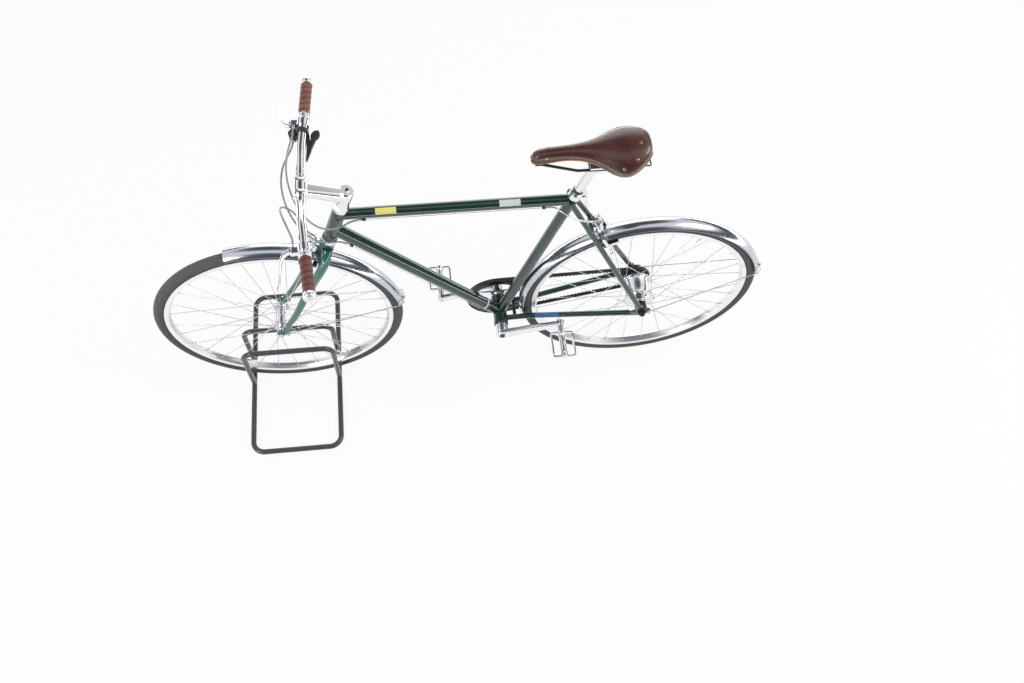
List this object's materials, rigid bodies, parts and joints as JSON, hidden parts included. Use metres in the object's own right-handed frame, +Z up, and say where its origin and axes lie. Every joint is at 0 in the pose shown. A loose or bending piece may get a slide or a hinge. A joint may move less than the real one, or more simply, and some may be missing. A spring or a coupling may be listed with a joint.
{
  "type": "city bicycle in a wheel stand",
  "caption": "Diamond-frame city bicycle with belt drive, hub gears, rim brakes, full metal fenders and a leather saddle, its front wheel held in a tubular floor stand.",
  "frame": {"origin": "on the floor, at the centre of the outline seen from above", "axes": "+X is the bicycle's forward direction, +Y its left side, +Z up"},
  "size_m": [1.7168, 0.6304, 1.0134],
  "materials": {
    "frame_paint": "dark green metallic lacquer",
    "polished_alloy": "polished",
    "chrome": "polished",
    "steel_wire": "drawn wire",
    "rubber_tyre": "moulded",
    "black_belt": "satin",
    "black_alloy": "satin black",
    "black_plastic": "satin",
    "housing": "smooth grey",
    "saddle_leather": "polished dark chestnut",
    "grip_leather": "wrapped brown",
    "stand_paint": "dark grey"
  },
  "bodies": {
    "front_assembly": {"fork": "frame_paint", "stem": "polished_alloy", "handlebar": "polished_alloy", "grip_left": "grip_leather", "grip_right": "grip_leather", "grip_collars": "polished_alloy", "brake_lever_left": "polished_alloy", "brake_lever_right": "polished_alloy", "gear_shifter": "black_plastic", "front_fender": "polished_alloy", "front_fender_stays": "steel_wire", "front_brake": "polished_alloy", "front_brake_cable": "housing", "front_axle": "steel_wire", "wheel_stand": "stand_paint", "brake_cable_crossing": "housing", "shift_cable_crossing": "housing"},
    "frame": {"head_tube": "frame_paint", "top_tube": "frame_paint", "down_tube": "frame_paint", "seat_tube": "frame_paint", "bottom_bracket_shell": "frame_paint", "chain_stays": "frame_paint", "seat_stays": "frame_paint", "headset_cups": "polished_alloy", "seat_post": "polished_alloy", "seat_clamp": "polished_alloy", "saddle_leather": "saddle_leather", "saddle_frame": "black_alloy", "rear_fender": "polished_alloy", "rear_fender_stays": "steel_wire", "rear_brake": "polished_alloy", "drive_belt": "black_belt", "rear_axle": "black_alloy", "rear_hub_cap": "black_alloy", "rear_brake_cable": "steel_wire", "shift_cable": "steel_wire"},
    "front_wheel": {"front_tyre": "rubber_tyre", "front_rim": "polished_alloy", "front_spokes": "steel_wire", "front_hub": "polished_alloy"},
    "rear_wheel": {"rear_tyre": "rubber_tyre", "rear_rim": "polished_alloy", "rear_spokes": "steel_wire", "rear_hub": "polished_alloy", "rear_cog": "black_alloy"},
    "cranks": {"belt_ring": "black_alloy", "crank_right": "polished_alloy", "crank_left": "polished_alloy", "pedal_axles": "steel_wire"},
    "pedal_left": {"pedal_left": "polished_alloy"},
    "pedal_right": {"pedal_right": "polished_alloy"}
  },
  "joints": [
    {"name": "steering", "type": "hinge", "parent": "front_assembly", "child": "frame", "pos_m": [0.31943, 0, 0.78138], "axis": [-0.3173, 0, 0.9483], "range_deg": [-60, 60], "deforming": ["brake_cable_crossing", "shift_cable_crossing"]},
    {"name": "front_wheel_spin", "type": "hinge", "parent": "front_assembly", "child": "front_wheel", "pos_m": [0.522, 0, 0.343], "axis": [0, 1, 0], "continuous": true},
    {"name": "rear_wheel_spin", "type": "hinge", "parent": "frame", "child": "rear_wheel", "pos_m": [-0.506, 0, 0.343], "axis": [0, 1, 0], "continuous": true},
    {"name": "crank_spin", "type": "hinge", "parent": "frame", "child": "cranks", "pos_m": [-0.102, 0, 0.285], "axis": [0, 1, 0], "continuous": true},
    {"name": "pedal_left_spin", "type": "hinge", "parent": "cranks", "child": "pedal_left", "pos_m": [-0.26764, 0.148, 0.32324], "axis": [0, 1, 0], "continuous": true},
    {"name": "pedal_right_spin", "type": "hinge", "parent": "cranks", "child": "pedal_right", "pos_m": [0.06364, -0.148, 0.24676], "axis": [0, 1, 0], "continuous": true}
  ]
}
